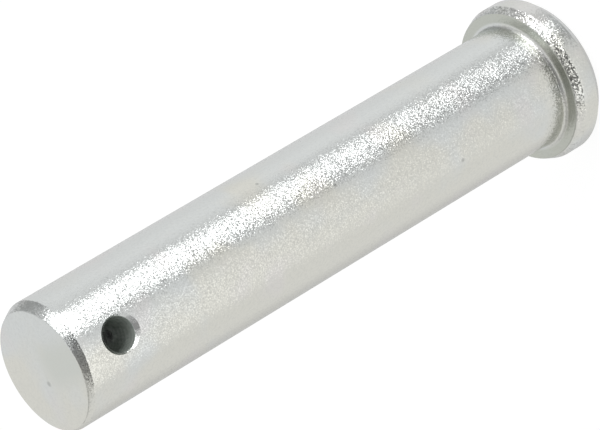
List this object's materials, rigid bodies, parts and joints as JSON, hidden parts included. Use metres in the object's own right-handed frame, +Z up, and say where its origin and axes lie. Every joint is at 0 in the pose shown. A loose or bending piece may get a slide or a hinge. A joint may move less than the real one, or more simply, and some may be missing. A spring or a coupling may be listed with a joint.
{
  "type": "clevis pin",
  "caption": "Zinc-plated steel clevis pin: plain shank with a low flat head at one end and a countersunk cross hole for a split pin near the other.",
  "frame": {"origin": "centre of the head's flat outer face, which the pin stands on", "axes": "+Z up the shank's axis from the head to the tip, Y along the cross hole, X across it"},
  "size_m": [0.0256, 0.0256, 0.1036],
  "materials": {
    "zinc_plated_steel": "satin bright zinc plate with a fine grain and a faint blue and straw passivation tint"
  },
  "bodies": {
    "root": {"clevis_pin": "zinc_plated_steel"}
  },
  "joints": []
}
